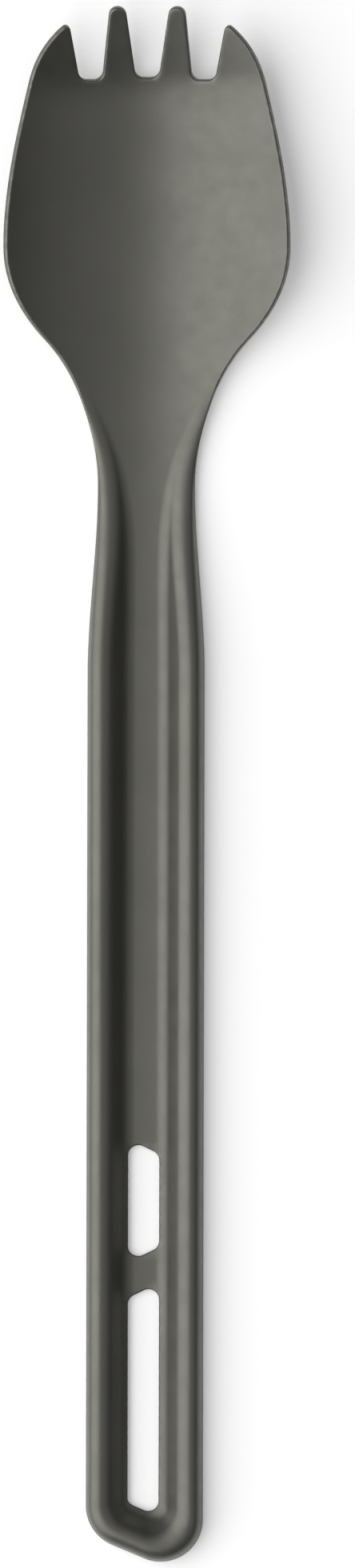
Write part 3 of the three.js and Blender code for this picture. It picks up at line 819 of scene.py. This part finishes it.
lower = upper - thickness * normals
body_points = np.concatenate([upper, lower, edge_rows.reshape(-1, 3)])
edge_place = np.zeros(len(upper), int)
edge_place[edge_index] = np.arange(edge_index.size)
row_starts = 2 * len(upper) + np.arange(len(edge_rows)) * edge_index.size
middle_starts = row_starts[:, None] + edge_place[edge_start]
middle_ends = row_starts[:, None] + edge_place[edge_end]
start_rows = np.concatenate([[edge_start], middle_starts, [edge_start + len(upper)]])
end_rows = np.concatenate([[edge_end], middle_ends, [edge_end + len(upper)]])
edge_a, edge_b = end_rows[:-1].ravel(), start_rows[:-1].ravel()
edge_c, edge_d = start_rows[1:].ravel(), end_rows[1:].ravel()
body_faces = np.concatenate([
    upper_faces,
    upper_faces[:, ::-1] + len(upper),
    np.stack([edge_a, edge_b, edge_c], axis=1),
    np.stack([edge_a, edge_c, edge_d], axis=1),
])
assert len(open_sides(body_faces)) == 0, "the body is not closed"
print("body:", len(body_points), "points,", len(body_faces), "triangles, closed")

# %% [markdown]
# The arrays now go into one mesh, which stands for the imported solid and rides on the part's only body. An
# attribute marks the rounded edges, fully on the edge and by half where it begins, so that the finish can
# wear there. Vertex paint could mark them too, but the edge points are known from the step before.

# %% Spork mesh
EDGE_BEGIN_SHARE = 0.5

mesh = bpy.data.meshes.new("spork_sheet")
mesh.vertices.add(len(body_points))
mesh.vertices.foreach_set("co", (body_points * MM).astype(np.float32).ravel())
mesh.loops.add(body_faces.size)
mesh.loops.foreach_set("vertex_index", body_faces.astype(np.int32).ravel())
mesh.polygons.add(len(body_faces))
mesh.polygons.foreach_set("loop_start", np.arange(0, body_faces.size, 3, dtype=np.int32))
mesh.polygons.foreach_set("use_smooth", np.ones(len(body_faces), bool))
mesh.update(calc_edges=True)
edge_share = np.zeros(len(body_points), np.float32)
edge_share[edge_index] = EDGE_BEGIN_SHARE
edge_share[edge_index + len(upper)] = EDGE_BEGIN_SHARE
edge_share[2 * len(upper):] = 1
mesh.attributes.new("sheet_edge", "FLOAT", "POINT").data.foreach_set("value", edge_share)
spork = bpy.data.objects.new("spork_sheet", mesh)
bpy.context.scene.collection.objects.link(spork)
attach(spork, "root")
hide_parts("spork_body")
mended = mesh.validate()
print("mesh: mended by validate:", mended, "box", body_points.min(axis=0), body_points.max(axis=0))

# %% [markdown]
# Hard anodising grows a thin grey oxide into the aluminium. It looks like a satin metal with a dark olive
# tint: it mirrors the light broadly, its colour is a little cloudy where the bath worked unevenly, and a fine
# grain from blasting breaks up every highlight. Painted pictures could show that, but noise needs no
# unwrapping and stays sharp at any distance. All of it is made from noise in the object's own coordinates, in
# metres, so a scale of 90 means clouds of about a ninetieth of a metre.

# %% Noises of the finish
METALLIC = 0.85
CLOUD_SCALE, CLOUD_DETAIL = 90.0, 4.0
MOTTLE_SCALE, MOTTLE_DETAIL = 420.0, 3.0
GRAIN_SCALE, GRAIN_DETAIL = 5200.0, 2.0
RUB_SCALE, RUB_DETAIL = 800.0, 3.0
NICK_SCALE, NICK_DETAIL = 9000.0, 1.0

finish = bpy.data.materials.new("anodised_olive_grey")
finish.use_nodes = True
tree = finish.node_tree
shader = tree.nodes["Principled BSDF"]
shader.inputs["Metallic"].default_value = METALLIC
place = tree.nodes.new("ShaderNodeTexCoord").outputs["Object"]


def noise(scale, detail):
    """A noise over the object's coordinates: its grey value and its colour."""
    node = tree.nodes.new("ShaderNodeTexNoise")
    node.inputs["Scale"].default_value = scale
    node.inputs["Detail"].default_value = detail
    tree.links.new(place, node.inputs["Vector"])
    return node.outputs["Fac"], node.outputs["Color"]


cloud, _ = noise(CLOUD_SCALE, CLOUD_DETAIL)
mottle, _ = noise(MOTTLE_SCALE, MOTTLE_DETAIL)
grain, _ = noise(GRAIN_SCALE, GRAIN_DETAIL)
rub, _ = noise(RUB_SCALE, RUB_DETAIL)
_, wander = noise(NICK_SCALE, NICK_DETAIL)
print("finish: noises made")

# %% [markdown]
# Use wears the finish. The edges and the tips of the tines rub on pots, so they are a shade paler and
# smoother in patches, and one tip has a small nick that shows bare metal. Wear could be painted by hand. Here
# it follows the edge attribute, the place along the spork and a noise, joined by small helpers that each add
# one node.

# %% Wear of the finish
RUB_START, RUB_FULL = 0.42, 0.68
TIP_START, TIP_FULL = 103 * MM, 111 * MM
TIP_SHARE = 0.4
NICK_PLACE = (-4.4 * MM, 109.5 * MM, 8.1 * MM)
NICK_INNER, NICK_OUTER = 0.12 * MM, 0.24 * MM
NICK_WANDER = 0.12 * MM


def ranged(value, low, high, to_low, to_high):
    """A value carried from one range to another and held inside it."""
    node = tree.nodes.new("ShaderNodeMapRange")
    limits = {"From Min": low, "From Max": high, "To Min": to_low, "To Max": to_high}
    for name, limit in limits.items():
        node.inputs[name].default_value = limit
    tree.links.new(value, node.inputs["Value"])
    return node.outputs["Result"]


def combined(operation, first, second):
    """Two values joined by a sum, product or the like. The second may be a plain number."""
    node = tree.nodes.new("ShaderNodeMath")
    node.operation = operation
    tree.links.new(first, node.inputs[0])
    if isinstance(second, float):
        node.inputs[1].default_value = second
    else:
        tree.links.new(second, node.inputs[1])
    return node.outputs["Value"]


edge_share_node = tree.nodes.new("ShaderNodeAttribute")
edge_share_node.attribute_name = "sheet_edge"
along = tree.nodes.new("ShaderNodeSeparateXYZ")
tree.links.new(place, along.inputs["Vector"])
at_tips = ranged(along.outputs["Y"], TIP_START, TIP_FULL, 0.0, TIP_SHARE)
exposed = combined("MAXIMUM", edge_share_node.outputs["Fac"], at_tips)
worn = combined("MULTIPLY", exposed, ranged(rub, RUB_START, RUB_FULL, 0.0, 1.0))

wandered = tree.nodes.new("ShaderNodeVectorMath")
wandered.operation = "MULTIPLY_ADD"
wandered.inputs[1].default_value = (NICK_WANDER, NICK_WANDER, NICK_WANDER)
tree.links.new(wander, wandered.inputs[0])
tree.links.new(place, wandered.inputs[2])
from_nick = tree.nodes.new("ShaderNodeVectorMath")
from_nick.operation = "DISTANCE"
from_nick.inputs[1].default_value = NICK_PLACE
tree.links.new(wandered.outputs["Vector"], from_nick.inputs[0])
nicked = ranged(from_nick.outputs["Value"], NICK_INNER, NICK_OUTER, 1.0, 0.0)
print("wear: from", round(TIP_START, 3), "m to the tips, and on every edge")

# %% [markdown]
# Colour, roughness and bump are now put together from the noises and the wear. The oxide lies between a
# darker and a paler tone, the rubbed places and the nick are mixed over it, and the grain is also a bump far
# smaller than a tenth of a millimetre. A single colour with one roughness would look like plastic.

# %% Anodised finish
OXIDE_DARK = (0.108, 0.107, 0.094, 1)
OXIDE_PALE = (0.142, 0.140, 0.125, 1)
RUBBED = (0.165, 0.163, 0.147, 1)
BARE_METAL = (0.6, 0.6, 0.59, 1)
MOTTLE_LOW, MOTTLE_HIGH = 0.3, 0.7
ROUGHNESS_SMOOTH, ROUGHNESS_COARSE = 0.41, 0.49
ROUGHNESS_RUBBED = 0.36
GRAIN_SHARE = 0.3
GRAIN_STRENGTH, GRAIN_DEPTH = 0.35, 0.02 * MM


def mixed(kind, share, first, second):
    """A mix of two colours or two values by a share. Each is a socket or a constant."""
    node = tree.nodes.new("ShaderNodeMix")
    node.data_type = kind
    tree.links.new(share, node.inputs["Factor"])
    slot_type = kind.replace("FLOAT", "VALUE")
    slots = [slot for slot in node.inputs if slot.name in ("A", "B") and slot.type == slot_type]
    for slot, value in zip(slots, (first, second)):
        if isinstance(value, (tuple, float)):
            slot.default_value = value
        else:
            tree.links.new(value, slot)
    return [result for result in node.outputs if result.enabled][0]


clouded = mixed("FLOAT", combined("MULTIPLY", grain, GRAIN_SHARE), cloud, grain)
oxide = mixed("RGBA", clouded, OXIDE_DARK, OXIDE_PALE)
rubbed = mixed("RGBA", worn, oxide, RUBBED)
tree.links.new(mixed("RGBA", nicked, rubbed, BARE_METAL), shader.inputs["Base Color"])

coarse = ranged(mottle, MOTTLE_LOW, MOTTLE_HIGH, ROUGHNESS_SMOOTH, ROUGHNESS_COARSE)
tree.links.new(mixed("FLOAT", worn, coarse, ROUGHNESS_RUBBED), shader.inputs["Roughness"])

blasted = tree.nodes.new("ShaderNodeBump")
blasted.inputs["Strength"].default_value = GRAIN_STRENGTH
blasted.inputs["Distance"].default_value = GRAIN_DEPTH
tree.links.new(grain, blasted.inputs["Height"])
tree.links.new(blasted.outputs["Normal"], shader.inputs["Normal"])
spork.data.materials.append(finish)
print("finish:", finish.name, "with", len(tree.nodes), "nodes")

# %% [markdown]
# The spork lies on a plain white table. More light would make the table white, but it would bleach the spork
# as well. So the table glows a little, only where the camera or a reflection sees it, and throws no more
# light on the spork. It keeps the shadow.

# %% Table
TABLE_HALF = 12.0
TABLE_WHITE = 0.85
TABLE_GLOW = 0.25
TABLE_ROUGHNESS = 0.9
WHITE_LIGHT = (1, 1, 1, 1)

table_corners = TABLE_HALF * np.array([(-1, -1, 0), (1, -1, 0), (1, 1, 0), (-1, 1, 0)])
table_mesh = bpy.data.meshes.new("table")
table_mesh.from_pydata(table_corners.tolist(), [], [(0, 1, 2, 3)])
table = bpy.data.objects.new("table", table_mesh)
bpy.context.scene.collection.objects.link(table)

white = bpy.data.materials.new("table_white")
white.use_nodes = True
white_shader = white.node_tree.nodes["Principled BSDF"]
white_shader.inputs["Base Color"].default_value = (TABLE_WHITE, TABLE_WHITE, TABLE_WHITE, 1)
white_shader.inputs["Roughness"].default_value = TABLE_ROUGHNESS
white_shader.inputs["Specular IOR Level"].default_value = 0
white_shader.inputs["Emission Color"].default_value = WHITE_LIGHT
ray = white.node_tree.nodes.new("ShaderNodeLightPath")
glow = white.node_tree.nodes.new("ShaderNodeMath")
glow.operation = "MULTIPLY"
glow.inputs[1].default_value = TABLE_GLOW
seen = ray.outputs["Is Camera Ray"]
for kind in ("Is Glossy Ray", "Is Transmission Ray"):
    either = white.node_tree.nodes.new("ShaderNodeMath")
    either.operation = "MAXIMUM"
    white.node_tree.links.new(seen, either.inputs[0])
    white.node_tree.links.new(ray.outputs[kind], either.inputs[1])
    seen = either.outputs["Value"]
white.node_tree.links.new(seen, glow.inputs[0])
white.node_tree.links.new(glow.outputs["Value"], white_shader.inputs["Emission Strength"])
table_mesh.materials.append(white)
print("table:", 2 * TABLE_HALF, "m wide")

# %% [markdown]
# One large soft panel stands on the left and reaches from the table almost to straight above, so every face
# that leans to the left is bright and the shadow falls to the right. A dim panel high on the right and a dim
# white room keep the other faces from going black. A small lamp would be simpler, but its shadow and its
# highlights would be hard, and in the photograph they are soft.

# %% Light and room
MAIN_SIZE, MAIN_DISTANCE, MAIN_BRIGHTNESS = 1.74, 1.0, 2.3
MAIN_HEIGHT, MAIN_TURN = math.radians(41), math.radians(6)
FILL_SIZE, FILL_DISTANCE, FILL_BRIGHTNESS = 1.25, 1.2, 0.44
FILL_HEIGHT, FILL_TURN = math.radians(65), math.radians(180)
ROOM_BRIGHTNESS = 0.12


def soft_panel(name, size, distance, height, turn, brightness):
    """A square panel that faces the origin, at a height angle over the table and a turn from the left towards
    the handle. Its power is its brightness times pi times its area."""
    panel_data = bpy.data.lights.new(name, "AREA")
    panel_data.shape = "SQUARE"
    panel_data.size = size
    panel_data.energy = brightness * math.pi * size ** 2
    panel = bpy.data.objects.new(name, panel_data)
    level = -distance * math.cos(height)
    panel.location = (level * math.cos(turn), level * math.sin(turn), distance * math.sin(height))
    panel.rotation_euler = (-panel.location).to_track_quat("-Z", "Y").to_euler()
    panel.visible_camera = False
    bpy.context.scene.collection.objects.link(panel)


soft_panel("main_light", MAIN_SIZE, MAIN_DISTANCE, MAIN_HEIGHT, MAIN_TURN, MAIN_BRIGHTNESS)
soft_panel("fill_light", FILL_SIZE, FILL_DISTANCE, FILL_HEIGHT, FILL_TURN, FILL_BRIGHTNESS)

room = bpy.data.worlds.new("room")
bpy.context.scene.world = room
room.use_nodes = True
room.node_tree.nodes["Background"].inputs["Color"].default_value = WHITE_LIGHT
room.node_tree.nodes["Background"].inputs["Strength"].default_value = ROOM_BRIGHTNESS
print("light: two soft panels and a dim room")
